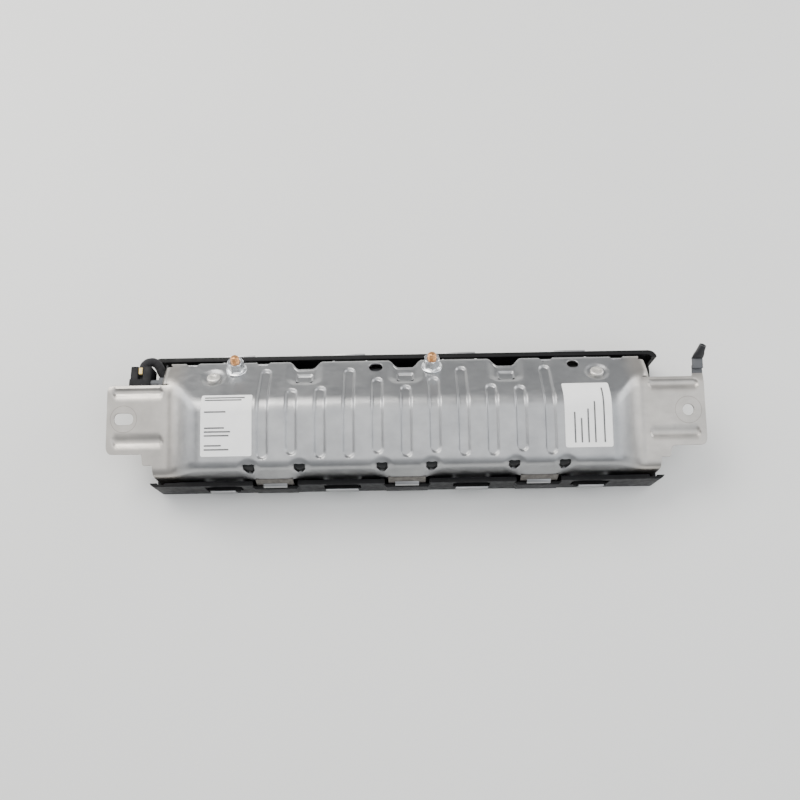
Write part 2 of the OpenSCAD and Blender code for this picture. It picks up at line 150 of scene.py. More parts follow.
def face_outward(mesh):
    """Turns every face of a closed mesh outwards."""
    bm = bmesh.new()
    bm.from_mesh(mesh)
    bmesh.ops.recalc_face_normals(bm, faces=bm.faces)
    bm.to_mesh(mesh)
    bm.free()


def shade(mesh, angle=35):
    mesh.polygons.foreach_set("use_smooth", [True] * len(mesh.polygons))
    mesh.set_sharp_from_angle(angle=math.radians(angle))
    mesh.update()


def bevelled(mesh, width, segments=2, angle=30):
    """Rounds a mesh's sharp edges by width millimetres."""
    bm = bmesh.new()
    bm.from_mesh(mesh)
    bmesh.ops.remove_doubles(bm, verts=bm.verts, dist=0.00001)
    bmesh.ops.dissolve_limit(bm, angle_limit=math.radians(1), verts=bm.verts, edges=bm.edges)
    edges = [e for e in bm.edges if len(e.link_faces) == 2 and e.calc_face_angle(0) > math.radians(angle)]
    bmesh.ops.bevel(bm, geom=edges, offset=width * MM, offset_type="OFFSET", segments=segments,
                    profile=0.5, affect="EDGES", clamp_overlap=True)
    bmesh.ops.triangulate(bm, faces=[f for f in bm.faces if len(f.verts) > 4])
    bm.normal_update()
    bm.to_mesh(mesh)
    bm.free()
    shade(mesh, 50)


# ---- materials ----


def material(name, color, roughness=0.5, metallic=0.0):
    mat = bpy.data.materials.new(name)
    mat.use_nodes = True
    shader = mat.node_tree.nodes["Principled BSDF"]
    shader.inputs["Base Color"].default_value = (*color, 1)
    shader.inputs["Roughness"].default_value = roughness
    shader.inputs["Metallic"].default_value = metallic
    return mat


def node(mat, kind, **values):
    made = mat.node_tree.nodes.new(kind)
    for key, value in values.items():
        if key in made.inputs:
            made.inputs[key].default_value = value
        else:
            setattr(made, key, value)
    return made


def link(mat, a, b):
    mat.node_tree.links.new(a, b)


def object_coords(mat, scale=(1, 1, 1)):
    coords = node(mat, "ShaderNodeTexCoord")
    mapping = node(mat, "ShaderNodeMapping")
    mapping.inputs["Scale"].default_value = scale
    link(mat, coords.outputs["Object"], mapping.inputs["Vector"])
    return mapping.outputs["Vector"]


def noise_node(mat, scale, detail=4.0, stretch=(1, 1, 1), roughness=0.55):
    tex = node(mat, "ShaderNodeTexNoise")
    tex.inputs["Scale"].default_value = scale
    tex.inputs["Detail"].default_value = detail
    tex.inputs["Roughness"].default_value = roughness
    link(mat, object_coords(mat, stretch), tex.inputs["Vector"])
    return tex.outputs["Fac"]


def ramp(mat, fac, stops):
    made = node(mat, "ShaderNodeValToRGB")
    elements = made.color_ramp.elements
    while len(elements) < len(stops):
        elements.new(0.5)
    for element, (place, color) in zip(elements, stops):
        element.position = place
        element.color = (*color, 1) if len(color) == 3 else color
    link(mat, fac, made.inputs["Fac"])
    return made.outputs["Color"]


def grey(v):
    return (v, v, v)


def mix(mat, fac, a, b, mode="MIX"):
    made = node(mat, "ShaderNodeMix", data_type="RGBA", blend_type=mode)
    for value, socket in ((fac, made.inputs[0]), (a, made.inputs[6]), (b, made.inputs[7])):
        if hasattr(value, "links"):
            link(mat, value, socket)
        else:
            socket.default_value = value if isinstance(value, float) else (*value, 1)
    return made.outputs[2]


def bump(mat, height, strength, distance):
    made = node(mat, "ShaderNodeBump")
    made.inputs["Strength"].default_value = strength
    made.inputs["Distance"].default_value = distance
    link(mat, height, made.inputs["Height"])
    link(mat, made.outputs["Normal"], shader_input(mat, "Normal"))


def shader_input(mat, name):
    return mat.node_tree.nodes["Principled BSDF"].inputs[name]


def vary(mat, name, fac, *stops):
    """Feeds one shader input with a colour ramp over a factor."""
    link(mat, ramp(mat, fac, stops), shader_input(mat, name))


def ring_mask(mat, x, y, radius, width):
    """White on a thin ring round a vertical axis at (x, y), all in metres."""
    coords = node(mat, "ShaderNodeTexCoord")
    apart = node(mat, "ShaderNodeVectorMath", operation="SUBTRACT")
    link(mat, coords.outputs["Object"], apart.inputs[0])
    apart.inputs[1].default_value = (x, y, 0)
    flat = node(mat, "ShaderNodeVectorMath", operation="MULTIPLY")
    link(mat, apart.outputs[0], flat.inputs[0])
    flat.inputs[1].default_value = (1, 1, 0)
    length = node(mat, "ShaderNodeVectorMath", operation="LENGTH")
    link(mat, flat.outputs[0], length.inputs[0])
    near = node(mat, "ShaderNodeMath", operation="COMPARE")
    link(mat, length.outputs["Value"], near.inputs[0])
    near.inputs[1].default_value = radius
    near.inputs[2].default_value = width
    return near.outputs[0]


def galvanised_steel():
    """Satin zinc coat: soft spangle, rolling grain, stains, and on the flanges a warmer tone that is also painted
    lighter as a sun reflection.
    """
    mat = material("galvanised_steel", (0.35, 0.35, 0.355), 0.38, 1.0)
    cloud = noise_node(mat, 55, 5, (1, 1, 1))
    spangle = node(mat, "ShaderNodeTexVoronoi")
    spangle.inputs["Scale"].default_value = 260
    link(mat, object_coords(mat), spangle.inputs["Vector"])
    cells = ramp(mat, spangle.outputs["Distance"], [(0.0, grey(0.96)), (1.0, grey(1.0))])
    tone = ramp(mat, cloud, [(0.3, (0.31, 0.314, 0.32)), (0.7, (0.4, 0.402, 0.406))])
    tone = mix(mat, 1.0, tone, cells, "MULTIPLY")
    coords = node(mat, "ShaderNodeTexCoord")
    split = node(mat, "ShaderNodeSeparateXYZ")
    link(mat, coords.outputs["Object"], split.inputs[0])
    size = node(mat, "ShaderNodeMath", operation="ABSOLUTE")
    link(mat, split.outputs["X"], size.inputs[0])
    # painted sun reflection: the flanges at the ends are made lighter, and warmer in tone
    ends = node(mat, "ShaderNodeMapRange")
    link(mat, size.outputs[0], ends.inputs["Value"])
    ends.inputs["From Min"].default_value = 0.146
    ends.inputs["From Max"].default_value = 0.156
    tone = mix(mat, ends.outputs["Result"], tone, mix(mat, 1.0, tone, (1.22, 1.15, 1.06), "MULTIPLY"))
    for x in (MOUNT_X * MM, -MOUNT_X * MM):
        ring = ring_mask(mat, x, facet_point(HOLE_V, -DROP)[0] * MM, 0.0088, 0.00022)
        tone = mix(mat, ring, tone, mix(mat, 1.0, tone, (0.72, 0.71, 0.7), "MULTIPLY"))
    link(mat, tone, shader_input(mat, "Base Color"))
    vary(mat, "Roughness", noise_node(mat, 140, 4, (1, 3, 1)), (0.3, grey(0.31)), (0.7, grey(0.42)))
    bump(mat, noise_node(mat, 900, 3, (1, 0.35, 1)), 0.12, 0.0002)
    return mat


def metal(name, low, high, roughness, scale=300, stretch=(1, 1, 1), metallic=1.0):
    """Plain metal with slight tone and roughness variation."""
    mat = material(name, high, roughness, metallic)
    vary(mat, "Base Color", noise_node(mat, scale, 4, stretch), (0.3, low), (0.7, high))
    vary(mat, "Roughness", noise_node(mat, scale * 1.7, 3, stretch),
         (0.3, grey(roughness * 0.8)), (0.7, grey(roughness * 1.25)))
    bump(mat, noise_node(mat, scale * 3, 2, stretch), 0.1, 0.0001)
    return mat


def plastic(name, color, roughness, grain=1800, strength=0.25, wear=1.35, specular=0.5):
    """Moulded plastic: fine eroded grain and a slight dusty tone variation."""
    mat = material(name, color, roughness)
    light = tuple(min(1.0, c * wear + 0.002) for c in color)
    vary(mat, "Base Color", noise_node(mat, 60, 5), (0.35, color), (0.75, light))
    vary(mat, "Roughness", noise_node(mat, 220, 4), (0.3, grey(roughness * 0.85)), (0.7, grey(min(1, roughness * 1.2))))
    bump(mat, noise_node(mat, grain, 2), strength, 0.0002)
    shader_input(mat, "Specular IOR Level").default_value = specular
    return mat


def fabric(name, low, high, pitch=0.0008):
    """Plain weave: two crossed waves for the threads, with slight soiling."""
    mat = material(name, high, 0.85)
    shader_input(mat, "Sheen Weight").default_value = 0.25
    waves = []
    for axis in ("X", "Y"):
        wave = node(mat, "ShaderNodeTexWave", bands_direction=axis)
        wave.inputs["Scale"].default_value = 0.314 / pitch
        wave.inputs["Distortion"].default_value = 0.6
        wave.inputs["Detail"].default_value = 1
        link(mat, object_coords(mat), wave.inputs["Vector"])
        waves.append(wave.outputs["Fac"])
    weave = node(mat, "ShaderNodeMath", operation="MAXIMUM")
    link(mat, waves[0], weave.inputs[0])
    link(mat, waves[1], weave.inputs[1])
    tone = ramp(mat, noise_node(mat, 40, 4), [(0.3, low), (0.7, high)])
    tone = mix(mat, 1.0, tone, ramp(mat, weave.outputs[0], [(0.2, grey(0.8)), (1.0, grey(1.0))]), "MULTIPLY")
    link(mat, tone, shader_input(mat, "Base Color"))
    bump(mat, weave.outputs[0], 0.35, 0.0003)
    return mat


def paper():
    """Matte white sticker stock with faint fibre and soiling."""
    mat = material("label_paper", (0.86, 0.86, 0.84), 0.55)
    vary(mat, "Base Color", noise_node(mat, 90, 5), (0.3, (0.9, 0.9, 0.885)), (0.7, (0.96, 0.96, 0.95)))
    vary(mat, "Roughness", noise_node(mat, 500, 3), (0.3, grey(0.45)), (0.7, grey(0.62)))
    bump(mat, noise_node(mat, 1500, 2), 0.08, 0.0001)
    return mat


STEEL = galvanised_steel()
COVER = plastic("cover_plastic", (0.005, 0.005, 0.0055), 0.46, specular=0.16)
CONNECTOR = plastic("connector_plastic", (0.007, 0.007, 0.008), 0.5, specular=0.16)
CLIP_BLACK = plastic("clip_black", (0.013, 0.013, 0.015), 0.4)
CLIP_GREY = plastic("clip_grey", (0.075, 0.078, 0.085), 0.6, 900, 0.6)
PLUG = plastic("plug_plastic", (0.007, 0.0075, 0.008), 0.6, specular=0.2)
LOCK = plastic("lock_plastic", (0.82, 0.62, 0.26), 0.45, wear=1.1)
RUBBER = plastic("grommet_rubber", (0.016, 0.016, 0.016), 0.7)
ZINC = metal("zinc_nut", (0.7, 0.71, 0.72), (0.86, 0.87, 0.88), 0.24, 420)
COPPER = metal("stud_copper", (0.45, 0.2, 0.075), (0.72, 0.38, 0.17), 0.34, 500)
RIVET = metal("rivet_steel", (0.62, 0.6, 0.56), (0.78, 0.76, 0.72), 0.48)
# painted shade: a darker copy of the steel for the edge tabs, which face away from the light
SHADED_TAB_STEEL = metal("shaded_tab_steel", (0.1, 0.094, 0.088), (0.17, 0.16, 0.15), 0.4)
CLAMP = metal("clamp_steel", (0.45, 0.45, 0.45), (0.56, 0.56, 0.55), 0.4)
TUBE = metal("inflator_steel", (0.42, 0.43, 0.45), (0.55, 0.56, 0.58), 0.35, 200, (0.2, 1, 1))
BRASS = metal("initiator_metal", (0.6, 0.46, 0.22), (0.76, 0.6, 0.32), 0.3)
CUSHION = fabric("cushion_fabric", (0.66, 0.64, 0.58), (0.78, 0.76, 0.7))
# painted shade: the wrap is made charcoal to stand in for the dark inside of the module
SHADED_WRAP = fabric("wrap_fabric", (0.05, 0.05, 0.052), (0.09, 0.09, 0.092), 0.0012)
PAPER = paper()
TAPE = fabric("lead_tape", (0.008, 0.0075, 0.009), (0.018, 0.017, 0.02), 0.0006)
shader_input(TAPE, "Sheen Weight").default_value = 0.05
INK = material("label_ink", (0.1, 0.1, 0.105), 0.6)
vary(INK, "Base Color", noise_node(INK, 900, 3), (0.3, (0.08, 0.08, 0.085)), (0.7, (0.16, 0.16, 0.165)))

# ---- camera, light and floor ----


def set_camera():
    """The camera looks down at 73 degrees; the lens and distance give the perspective of a phone held close."""
    target = Vector((-3.8, 6.5, 45)) * MM
    distance = 567 * MM
    elevation = math.radians(73)
    back = Vector((0, -math.cos(elevation), math.sin(elevation)))
    data = bpy.data.cameras.new("camera")
    data.lens = 38.25
    data.sensor_width = 36
    data.clip_start = 0.01
    camera = bpy.data.objects.new("camera", data)
    bpy.context.scene.collection.objects.link(camera)
    turn = back.to_track_quat("Z", "Y").to_matrix().to_4x4() @ Matrix.Rotation(math.radians(-1.0), 4, "Z")
    camera.matrix_world = Matrix.Translation(target + back * distance) @ turn
    bpy.context.scene.camera = camera


def add_light(name, place, target, size, power, color=(1, 1, 1)):
    data = bpy.data.lights.new(name, "AREA")
    data.shape = "RECTANGLE"
    data.size, data.size_y = size
    data.energy = power
    data.color = color
    lamp = bpy.data.objects.new(name, data)
    bpy.context.scene.collection.objects.link(lamp)
    lamp.location = place
    lamp.rotation_euler = (Vector(target) - Vector(place)).to_track_quat("-Z", "Y").to_euler()


def set_stage():
    mesh = bpy.data.meshes.new("floor")
    mesh.from_pydata([(-4, -4, 0), (4, -4, 0), (4, 4, 0), (-4, 4, 0)], [], [(0, 1, 2, 3)])
    floor = bpy.data.objects.new("floor", mesh)
    bpy.context.scene.collection.objects.link(floor)
    mat = material("floor_paint", (0.8, 0.8, 0.78), 0.7)
    vary(mat, "Base Color", noise_node(mat, 3, 4), (0.3, (0.78, 0.78, 0.765)), (0.7, (0.81, 0.81, 0.795)))
    mesh.materials.append(mat)
    world = bpy.data.worlds.new("world")
    world.use_nodes = True
    background = world.node_tree.nodes["Background"]
    coords = node(world, "ShaderNodeTexCoord")
    split = node(world, "ShaderNodeSeparateXYZ")
    sky = node(world, "ShaderNodeValToRGB")
    sky.color_ramp.elements[0].color = (0.5, 0.51, 0.53, 1)
    sky.color_ramp.elements[1].color = (0.96, 0.98, 1, 1)
    sky.color_ramp.elements[1].position = 0.9
    link(world, coords.outputs["Generated"], split.inputs[0])
    link(world, split.outputs["Z"], sky.inputs["Fac"])
    link(world, sky.outputs["Color"], background.inputs["Color"])
    background.inputs["Strength"].default_value = 0.8
    bpy.context.scene.world = world
    add_light("key", (-0.55, 0.75, 1.1), (0, 0, 0.04), (0.9, 0.7), 17, (1, 0.97, 0.92))
    add_light("fill", (0.9, -0.5, 0.9), (0, 0, 0.04), (1.2, 1.2), 5, (0.9, 0.95, 1))
    add_light("left side", (-1.1, 0.4, 0.42), (0, 0, 0.03), (0.8, 0.8), 7)
    add_light("right side", (1.1, 0.4, 0.42), (0, 0, 0.03), (0.8, 0.8), 7)
    add_light("top", (0.0, -0.05, 1.3), (0, 0, 0.04), (1.4, 0.8), 5)


set_camera()
set_stage()

# ---- housing: one stamped sheet ----


def profile_corners(drop):
    """Corners (y, z) of the sheet's outer profile where the roof lies drop below the main facet."""
    lean = (NEAR_Y - NEAR_FOOT_Y) / (near_roof_z(0) - PAN_BOTTOM)
    near_z = near_roof_z(drop)
    near_y = NEAR_FOOT_Y + lean * (near_z - PAN_BOTTOM)
    fold_v = drop / math.tan(MAIN_TILT + UPPER_TILT)
    far_z = KINK_Z - (FAR_Y - KINK_Y) * math.tan(UPPER_TILT)
    return [(NEAR_FOOT_Y, PAN_BOTTOM), (near_y, near_z), facet_point(fold_v, -drop),
            (FAR_Y, far_z), (FAR_FOOT_Y, PAN_BOTTOM)]


def near_roof_z(drop):
    return KINK_Z + (NEAR_Y - KINK_Y) * math.tan(MAIN_TILT) - drop / math.cos(MAIN_TILT)


FOLD_TANGENT = (0, 5.8, 7.0, 2.6, 0)


def stations(corners):
    """Distance along the profile of each corner."""
    out = [0.0]
    for a, b in zip(corners, corners[1:]):
        out.append(out[-1] + math.dist(a, b))
    return out


BASE_STATIONS = stations(profile_corners(0.0))
KINK_AT = BASE_STATIONS[2]


def roof_drop(x):
    """How far the roof lies below the main facet at x: the slopes down to the flanges."""
    rise = (np.abs(x) - SLOPE_TOP_X) * DROP / (SLOPE_FOOT_X - SLOPE_TOP_X)
    return soft_max(soft_min(rise, np.full_like(rise, DROP), 4.5), np.zeros_like(rise), 5.0)


def profile_points(drop, s):
    """World (y, z) at distances s along the flat blank, for one roof drop. The blank is measured at drop 0 from the
    kink, and each stretch between folds is spread evenly over its length at this drop."""
    corners = [np.array(c) for c in profile_corners(drop)]
    real = stations(corners)
    d = np.interp(s + KINK_AT, BASE_STATIONS, real)
    y = np.interp(d, real, [c[0] for c in corners])
    z = np.interp(d, real, [c[1] for c in corners])
    for k in (1, 2, 3):
        t_len = FOLD_TANGENT[k]
        t = (d - real[k] + t_len) / (2 * t_len)
        in_fold = (t > 0) & (t < 1)
        u0 = (corners[k - 1] - corners[k]) / np.linalg.norm(corners[k - 1] - corners[k])
        u1 = (corners[k + 1] - corners[k]) / np.linalg.norm(corners[k + 1] - corners[k])
        p0, p1 = corners[k] + u0 * t_len, corners[k] + u1 * t_len
        ti = t[in_fold][:, None]
        arc = (1 - ti) ** 2 * p0 + 2 * ti * (1 - ti) * corners[k] + ti ** 2 * p1
        y[in_fold], z[in_fold] = arc[:, 0], arc[:, 1]
    return y, z


DROP_STEPS = np.linspace(0, DROP + 1.5, 125)
S_STEPS = np.linspace(-BASE_STATIONS[2], BASE_STATIONS[4] - KINK_AT, 1400)
NEAR_END_S, FAR_END_S = S_STEPS[0] + 0.2, S_STEPS[-1] - 0.2
PROFILE_Y = np.zeros((len(DROP_STEPS), len(S_STEPS)))
PROFILE_Z = np.zeros_like(PROFILE_Y)
for row, one_drop in enumerate(DROP_STEPS):
    PROFILE_Y[row], PROFILE_Z[row] = profile_points(one_drop, S_STEPS)


def lookup(table, drop, s):
    """Bilinear value of a profile table."""
    i = np.clip(drop / DROP_STEPS[1], 0, len(DROP_STEPS) - 1.001)
    j = np.clip((s - S_STEPS[0]) / (S_STEPS[1] - S_STEPS[0]), 0, len(S_STEPS) - 1.001)
    i0, j0 = i.astype(int), j.astype(int)
    fi, fj = i - i0, j - j0
    return ((table[i0, j0] * (1 - fj) + table[i0, j0 + 1] * fj) * (1 - fi)
            + (table[i0 + 1, j0] * (1 - fj) + table[i0 + 1, j0 + 1] * fj) * fi)


def s_at(x, y):
    """Place on the blank of the world point (x, y)."""
    drop = float(roof_drop(np.array([float(x)]))[0])
    ys = lookup(PROFILE_Y, np.full(len(S_STEPS), drop), S_STEPS)
    return float(np.interp(y, ys, S_STEPS))


END_R = 5.5
END_BEND_X = 159.0
FAR_ZONE_Y = 20.4


def capsule(px, ps, x, s0, s1):
    """Distance of points from a straight line x = const, s0 <= s <= s1."""
    ds = np.maximum(np.maximum(s0 - ps, ps - s1), 0)
    return np.hypot(px - x, ds)


def dish(distance, flat, edge, depth):
    """Pressed depth: full inside flat, none outside edge."""
    return depth * (1 - smooth(flat, edge, distance))


def box_distance(px, ps, x, s, half_x, half_s, r):
    qx = np.abs(px - x) - half_x + r
    qs = np.abs(ps - s) - half_s + r
    return np.hypot(np.maximum(qx, 0), np.maximum(qs, 0)) + np.minimum(np.maximum(qx, qs), 0) - r


NEAR_FOLD_S = BASE_STATIONS[1] - KINK_AT
FAR_FOLD_S = BASE_STATIONS[3] - KINK_AT


def pressed_depth(x, s, y):
    """Depth of every pressed feature of the sheet, inwards."""
    depth = np.zeros_like(x)
    for i in range(-5, 6):
        d = capsule(x, s, i * BEAD_PITCH, -BEAD_LOWER[abs(i)] + BEAD_W / 2, BEAD_UPPER[abs(i)] - BEAD_W / 2)
        depth = np.maximum(depth, dish(d, *BEAD_DISH))
    for cx in DIMPLE_XS:
        depth = np.maximum(depth, dish(np.hypot(x - cx, s - DIMPLE_S), *DIMPLE_DISH))
    for cx in SCOOP_XS:
        wide = dish(box_distance(x, s, cx, 30.5, 7.5, 9.0, 3.0), *SCOOP_DISH)
        pocket = dish(box_distance(x, s, cx, 24.6, 5.4, 4.2, 1.0), *POCKET_DISH)
        depth = np.maximum(depth, wide + pocket)
    for cx in WINDOW_XS:
        depth = np.maximum(depth, dish(np.hypot(x - cx, (s - NEAR_FOLD_S + 1.4) * 0.95), *WINDOW_DISH))
    for side in (-1, 1):
        for v in GROOVE_VS:
            cy = facet_point(v, -DROP)[0]
            half = GROOVE_L / 2 - 3.6
            d = np.hypot(np.maximum(np.abs(x - side * GROOVE_X) - half, 0), y - cy)
            depth = np.maximum(depth, dish(d, *GROOVE_DISH) * (np.abs(x) > 150))
    return depth


def near_any(x, centres, flat, edge):
    """1 within flat of any of the centres, 0 beyond edge, smooth between."""
    out = np.zeros_like(x)
    for centre in centres:
        out = np.maximum(out, 1 - smooth(flat, edge, np.abs(x - centre)))
    return out


def formed(x, s):
    """World points of the blank's points (x, s), without the pressed features."""
    ax = np.abs(x)
    drop = roof_drop(np.minimum(ax, HALF_L))
    y = lookup(PROFILE_Y, drop, s)
    z = lookup(PROFILE_Z, drop, s)
    # the far edge steps in at the scoops
    back = SCOOP_BACK * near_any(x, SCOOP_XS, 4.2, 11.5) * smooth(FAR_FOLD_S - 12, FAR_FOLD_S - 1.5, s)
    y = y - back * math.cos(UPPER_TILT)
    z = z + back * math.sin(UPPER_TILT) * (1 - smooth(FAR_FOLD_S - 1, FAR_FOLD_S + 6, s))
    # the near wall flares out at the edge tabs
    flare = near_any(x, NEAR_TAB_XS, 8.0, 23.0) * (1 - smooth(25.0, 47.0, z)) * (s < NEAR_FOLD_S)
    y = y - TAB_FLARE * flare
    # the ends of the far zone bend down into the end walls
    over = np.where((y > FAR_ZONE_Y - 0.6) & (ax < BEND_LIMIT_X), np.maximum(ax - END_BEND_X, 0), 0)
    angle = np.minimum(over / END_R, math.pi / 2)
    straight = np.maximum(over - END_R * math.pi / 2, 0)
    out_x = np.where(over > 0, END_BEND_X + END_R * np.sin(angle), ax)
    z = z - END_R * (1 - np.cos(angle)) - straight
    return np.stack([np.sign(x) * out_x, y, z], axis=1)


def normals_of(x, s):
    h = 0.05
    dx = formed(x + h, s) - formed(x - h, s)
    ds = formed(x, s + h) - formed(x, s - h)
    n = np.cross(dx, ds)
    return n / np.maximum(np.linalg.norm(n, axis=1), 1e-9)[:, None]


def arc_corner(a, b, c, r, n=6):
    """Points that round the corner b of the outline a, b, c."""
    a, b, c = np.array(a, float), np.array(b, float), np.array(c, float)
    u, v = (a - b) / np.linalg.norm(a - b), (c - b) / np.linalg.norm(c - b)
    half = math.acos(np.clip(u @ v, -1, 1)) / 2
    p0, p1 = b + u * r / math.tan(half), b + v * r / math.tan(half)
    return [tuple((1 - t) ** 2 * p0 + 2 * t * (1 - t) * b + t * t * p1) for t in np.linspace(0, 1, n)]


def rounded_outline(corners, closed=True):
    """An outline from corners (x, y, radius); an open one keeps its two ends as they are."""
    out = []
    for i, (x, y, r) in enumerate(corners):
        if r > 0 and (closed or 0 < i < len(corners) - 1):
            out += arc_corner(corners[i - 1][:2], (x, y), corners[(i + 1) % len(corners)][:2], r)
        else:
            out.append((x, y))
    return out


def resampled(points, step=OUTLINE_STEP):
    """A closed outline with a point at least every step."""
    out = []
    for a, b in zip(points, points[1:] + points[:1]):
        n = max(1, int(math.ceil(math.dist(a, b) / step)))
        out += [(a[0] + (b[0] - a[0]) * k / n, a[1] + (b[1] - a[1]) * k / n) for k in range(n)]
    return out


def end_outline(side):
    """Half of the blank's outline, from the near wall's foot round the flange tab to the far wall's foot."""
    right = side > 0
    tab_far = facet_point(TAB_FAR_V, -DROP)[0]
    tab_near = facet_point(TAB_NEAR_V, -DROP)[0]
    shoulder = facet_point(SHOULDER_V, -DROP)[0]
    rise = CORNER_RISE if right else 0.0
    flap = END_BEND_X + END_R * math.pi / 2 + (22.0 if right else 1.0)
    return [
        (PAN_NEAR_X - 0.6, NEAR_END_S, 0), (PAN_NEAR_X - 0.2, s_at(169, -38.5), 0),
        (PAN_NEAR_X, s_at(169, shoulder), 0.6),
        (SHOULDER_X, s_at(175, shoulder), 1.2),
        (SHOULDER_X + (0 if right else 0.8), s_at(175, tab_near), 3.6 if right else 0.8),
        (HALF_L, s_at(200, tab_near), 4.2), (HALF_L - 0.6, s_at(200, tab_far + rise), 1.0 if right else 3.2),
        (HALF_L - 5.6, s_at(195, tab_far + rise), 0.8 if right else 0),
        (HALF_L - 8, s_at(192, tab_far), 0.8 if right else 0),
        (END_BEND_X + 1.2, s_at(160, tab_far), 0), (END_BEND_X - 0.2, s_at(160, tab_far) + 0.3, 0),
        (END_BEND_X - 0.2, s_at(160, FAR_ZONE_Y), 0),
        (flap, s_at(160, FAR_ZONE_Y + 0.3), 1.5), (flap, s_at(160, 34.6), 2.0),
        (END_BEND_X - 0.4, s_at(160, 35.0), 0), (PAN_FAR_X - 2.5, FAR_FOLD_S + 0.5, 0),
        (PAN_FAR_X - 2.0, FAR_END_S, 1.0),
    ]


def blank_outline():
    right = rounded_outline(end_outline(1), False)
    left = [(-x, s) for x, s in rounded_outline(end_outline(-1), False)][::-1]
    lower = []
    for cx in NEAR_TAB_XS:
        top = s_for_z(28.6)
        lower += [(cx - 19.5, NEAR_END_S), (cx - 19.0, top - 4.0), (cx - 15.0, top), (cx + 15.0, top),
                  (cx + 19.0, top - 4.0), (cx + 19.5, NEAR_END_S)]
    return right + left + lower


def s_for_z(z):
    """Place on the near wall at height z, away from the ends."""
    zs = lookup(PROFILE_Z, np.zeros(len(S_STEPS)), S_STEPS)
    near = S_STEPS < NEAR_FOLD_S
    return float(np.interp(z, zs[near], S_STEPS[near]))


def circle_points(x, s, d, step=OUTLINE_STEP):
    n = max(20, int(math.pi * d / step))
    return [(x + d / 2 * math.cos(a), s + d / 2 * math.sin(a)) for a in angles(n)]


def heart_outline(x, inset):
    """Outline of a window of the near fold, drawn in by inset."""
    top, low, wide = NEAR_FOLD_S + 2.0 - inset, NEAR_FOLD_S - 11.0 + inset, 3.7 - inset
    heart = [(-wide, top - 1.1, 0.8), (-2.4, top, 0.8), (-0.6, top - 0.5, 0.4), (0.6, top - 0.5, 0.4), (2.4, top, 0.8),
             (wide, top - 1.1, 0.8), (wide - 0.2, low + 5.0, 0.8), (1.3, low, 0.8), (-1.3, low, 0.8),
             (0.2 - wide, low + 5.0, 0.8)]
    return [(x + a, b) for a, b in rounded_outline(heart)]


def blank_holes():
    holes = []
    hole_s = s_at(MOUNT_X, facet_point(HOLE_V, -DROP)[0])
    stretch = (s_at(MOUNT_X, 0) - s_at(MOUNT_X, -10)) / (10 / math.cos(MAIN_TILT))
    holes.append([(x, hole_s + (s - hole_s) * stretch) for x, s in circle_points(MOUNT_X, hole_s, HOLE_D, 0.7)])
    r, h = SLOT_W / 2 - 0.01, SLOT_L / 2
    slot = rounded_outline([(-h, -r, r - 0.01), (h, -r, r - 0.01), (h, r, r - 0.01), (-h, r, r - 0.01)])
    holes.append([(-MOUNT_X + x, hole_s + s * stretch) for x, s in resampled(slot)])
    for x, s, d in VENTS:
        holes.append(circle_points(x, s, d))
    for x in STUD_XS:
        holes.append(circle_points(x, STUD_S, STUD_HOLE_D))
    for x in SCOOP_XS:
        for side in (-1, 1):
            holes.append(circle_points(x + side * RELIEF_X, RELIEF_S, RELIEF_D, 0.5))
    for x in WINDOW_XS:
        holes.append(resampled(heart_outline(x, 0.0)))
    for x in NOTCH_XS:
        shape = [(-6.0, FAR_FOLD_S + 5, 0.8), (-3.6, FAR_FOLD_S - 3.6, 0.6), (-2.2, FAR_FOLD_S - 4.6, 0.4),
                 (-1.2, FAR_FOLD_S - 3.9, 0.3), (2.4, FAR_FOLD_S - 4.4, 0.5), (6.4, FAR_FOLD_S + 5, 0.8)]
        holes.append(resampled([(x + a, b) for a, b in rounded_outline(shape)][::-1]))
    return holes


def grid_rows():
    """Rows of the blank: close together in the folds and at the ends of the beads, further apart elsewhere."""
    rows, s = [], S_STEPS[0]
    while s < S_STEPS[-1]:
        rows.append(s)
        fold = any(abs(s - f) < t for f, t in ((NEAR_FOLD_S, 8), (0, 6), (FAR_FOLD_S, 4.5)))
        ends = -39 < s < -32 or 10 < s < 34
        wall = s < NEAR_FOLD_S - 8 or s > FAR_FOLD_S + 4.5
        s += 0.75 if fold or ends else 2.2 if wall else 1.5
    return rows


def grid_columns():
    """Columns of the blank: close together over the bead walls and the end slopes."""
    columns, x = [], -HALF_L
    while x < HALF_L:
        columns.append(x)
        from_bead = abs(x - BEAD_PITCH * round(x / BEAD_PITCH))
        on_wall = 1.2 < from_bead < 4.9 and abs(x) < BEAD_PITCH * 5.5
        x += 0.55 if on_wall else 0.9
    return columns


def housing_mesh():
    loops = [resampled(blank_outline(), 1.1)] + blank_holes()
    points, edges = [], []
    for loop in loops:
        start = len(points)
        points += loop
        edges += [(start + k, start + (k + 1) % len(loop)) for k in range(len(loop))]
    rim = np.array(points)
    inner = grid(grid_columns(), grid_rows())
    inner = inner[~close_to(inner, rim, 0.5)]
    blank, tri = triangulated(rim, edges, inner)
    centre = blank[tri].mean(axis=1)
    keep = inside(centre, loops[0])
    for hole in loops[1:]:
        keep &= ~inside(centre, hole)
    tri = tri[keep]
    used = np.unique(tri)
    index = np.full(len(blank), -1)
    index[used] = np.arange(len(used))
    blank, tri = blank[used], index[tri]
    x, s = blank[:, 0], blank[:, 1]
    base = formed(x, s)
    n = normals_of(x, s)
    outer = base - n * pressed_depth(x, s, base[:, 1])[:, None]
    return thickened("housing_sheet", outer, tri, SHEET)


def triangulated(rim, edges, inner):
    """Points and triangles of a flat area with the given rim edges and inner points."""
    everything = [Vector(p) for p in np.vstack([rim, inner])]
    verts, _, faces, _, _, _ = delaunay_2d_cdt(everything, edges, [], 0, 1e-6)
    return np.array([(v.x, v.y) for v in verts]), np.array([list(f) for f in faces])


def grid(xs, ys):
    """Every point (x, y) of a grid."""
    gx, gy = np.meshgrid(xs, ys)
    return np.stack([gx.ravel(), gy.ravel()], axis=1)


